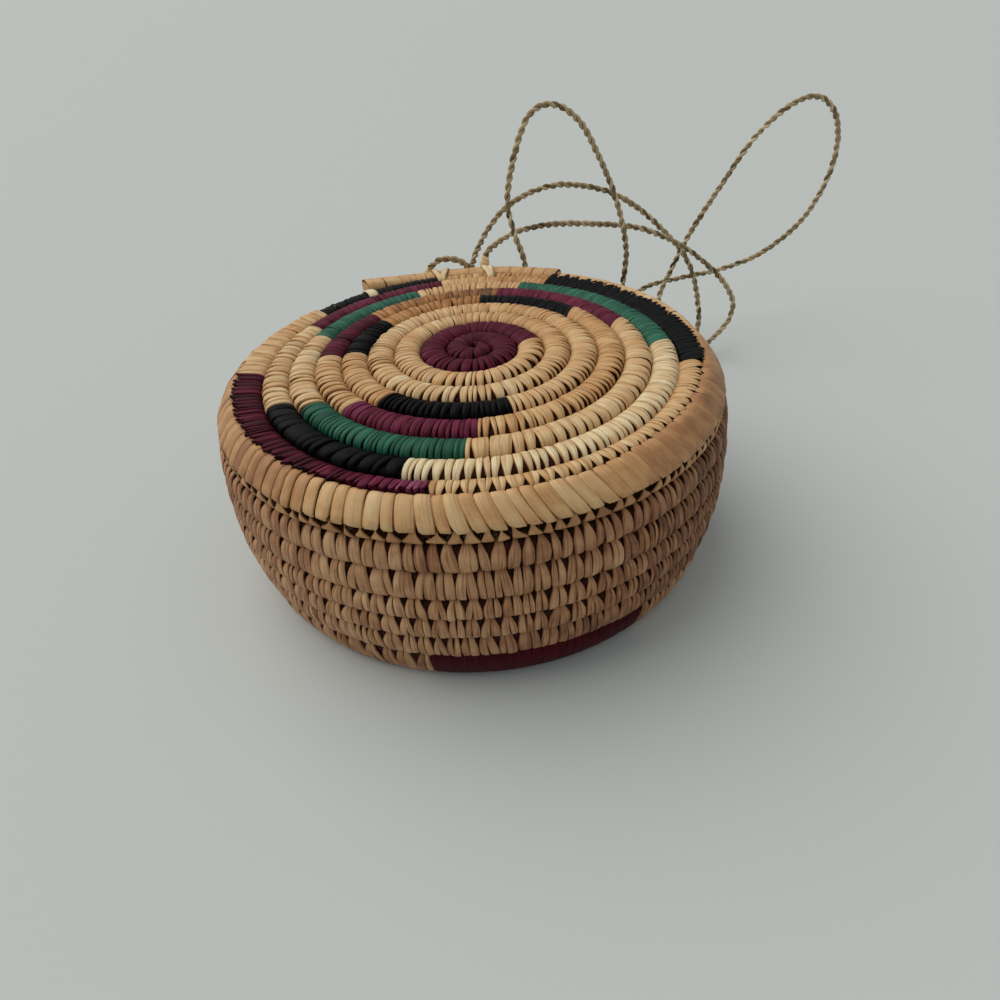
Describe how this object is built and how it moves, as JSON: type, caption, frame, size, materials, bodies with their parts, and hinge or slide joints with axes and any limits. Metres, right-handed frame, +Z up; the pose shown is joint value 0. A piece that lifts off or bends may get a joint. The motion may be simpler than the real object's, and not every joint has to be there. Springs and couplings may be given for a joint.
{
  "type": "round straw shoulder bag",
  "caption": "Round shoulder bag of coiled straw wrapped in plain and dyed palm leaf, with a domed front, an open mouth whose front lip flexes, and twisted rope straps.",
  "frame": {"origin": "on the surface the bag lies on, under the middle of the bag without its straps", "axes": "+Z up from the back panel to the front panel, +Y towards the mouth, +X to the right seen from the side opposite the mouth"},
  "size_m": [0.4084, 0.3465, 0.1837],
  "materials": {
    "natural_leaf": "matte palm leaf, slightly silky",
    "maroon_leaf": "matte dyed palm leaf",
    "green_leaf": "matte dyed palm leaf",
    "black_leaf": "matte dyed palm leaf",
    "palm_rope": "matte twisted palm leaf"
  },
  "bodies": {
    "bag": {"front_centre_coil": "maroon_leaf", "front_coil_natural_1": "natural_leaf", "front_coil_natural_2": "natural_leaf", "front_coil_natural_3": "natural_leaf", "front_coil_natural_4": "natural_leaf", "front_coil_natural_5": "natural_leaf", "front_coil_natural_6": "natural_leaf", "front_coil_natural_7": "natural_leaf", "front_coil_natural_8": "natural_leaf", "front_coil_natural_9": "natural_leaf", "front_coil_natural_10": "natural_leaf", "front_coil_natural_11": "natural_leaf", "front_coil_natural_12": "natural_leaf", "front_coil_natural_13": "natural_leaf", "front_coil_natural_14": "natural_leaf", "front_coil_natural_15": "natural_leaf", "front_coil_black_1": "black_leaf", "front_coil_black_2": "black_leaf", "front_coil_black_3": "black_leaf", "front_coil_black_4": "black_leaf", "front_coil_black_5": "black_leaf", "front_coil_black_6": "black_leaf", "front_coil_maroon_1": "maroon_leaf", "front_coil_maroon_2": "maroon_leaf", "front_coil_maroon_3": "maroon_leaf", "front_coil_maroon_4": "maroon_leaf", "front_coil_maroon_5": "maroon_leaf", "front_coil_green_1": "green_leaf", "front_coil_green_2": "green_leaf", "front_coil_green_3": "green_leaf", "front_rim_coil": "natural_leaf", "side_course_1": "natural_leaf", "side_course_2": "natural_leaf", "side_course_3": "natural_leaf", "side_course_4": "natural_leaf", "side_course_5": "natural_leaf", "base_coil_left": "natural_leaf", "base_coil_maroon": "maroon_leaf", "base_coil_right": "natural_leaf", "back_centre_coil": "maroon_leaf", "back_panel_coil": "natural_leaf", "mouth_binding_left": "natural_leaf", "mouth_binding_right": "natural_leaf", "back_lip_coil": "natural_leaf", "back_tie_left": "natural_leaf", "back_tie_right": "natural_leaf", "left_strap": "palm_rope", "right_strap": "palm_rope"},
    "front_lip": {"front_lip_coil": "natural_leaf", "front_tie_left": "natural_leaf", "front_tie_right": "natural_leaf"}
  },
  "joints": [
    {"name": "front_lip_flex", "type": "hinge", "parent": "bag", "child": "front_lip", "pos_m": [0, 0.0966, 0.101], "axis": [1, 0, 0], "range_deg": [0, 20], "stiffness_Nm_per_rad": 0.3, "deforming": ["left_strap", "right_strap"]}
  ]
}
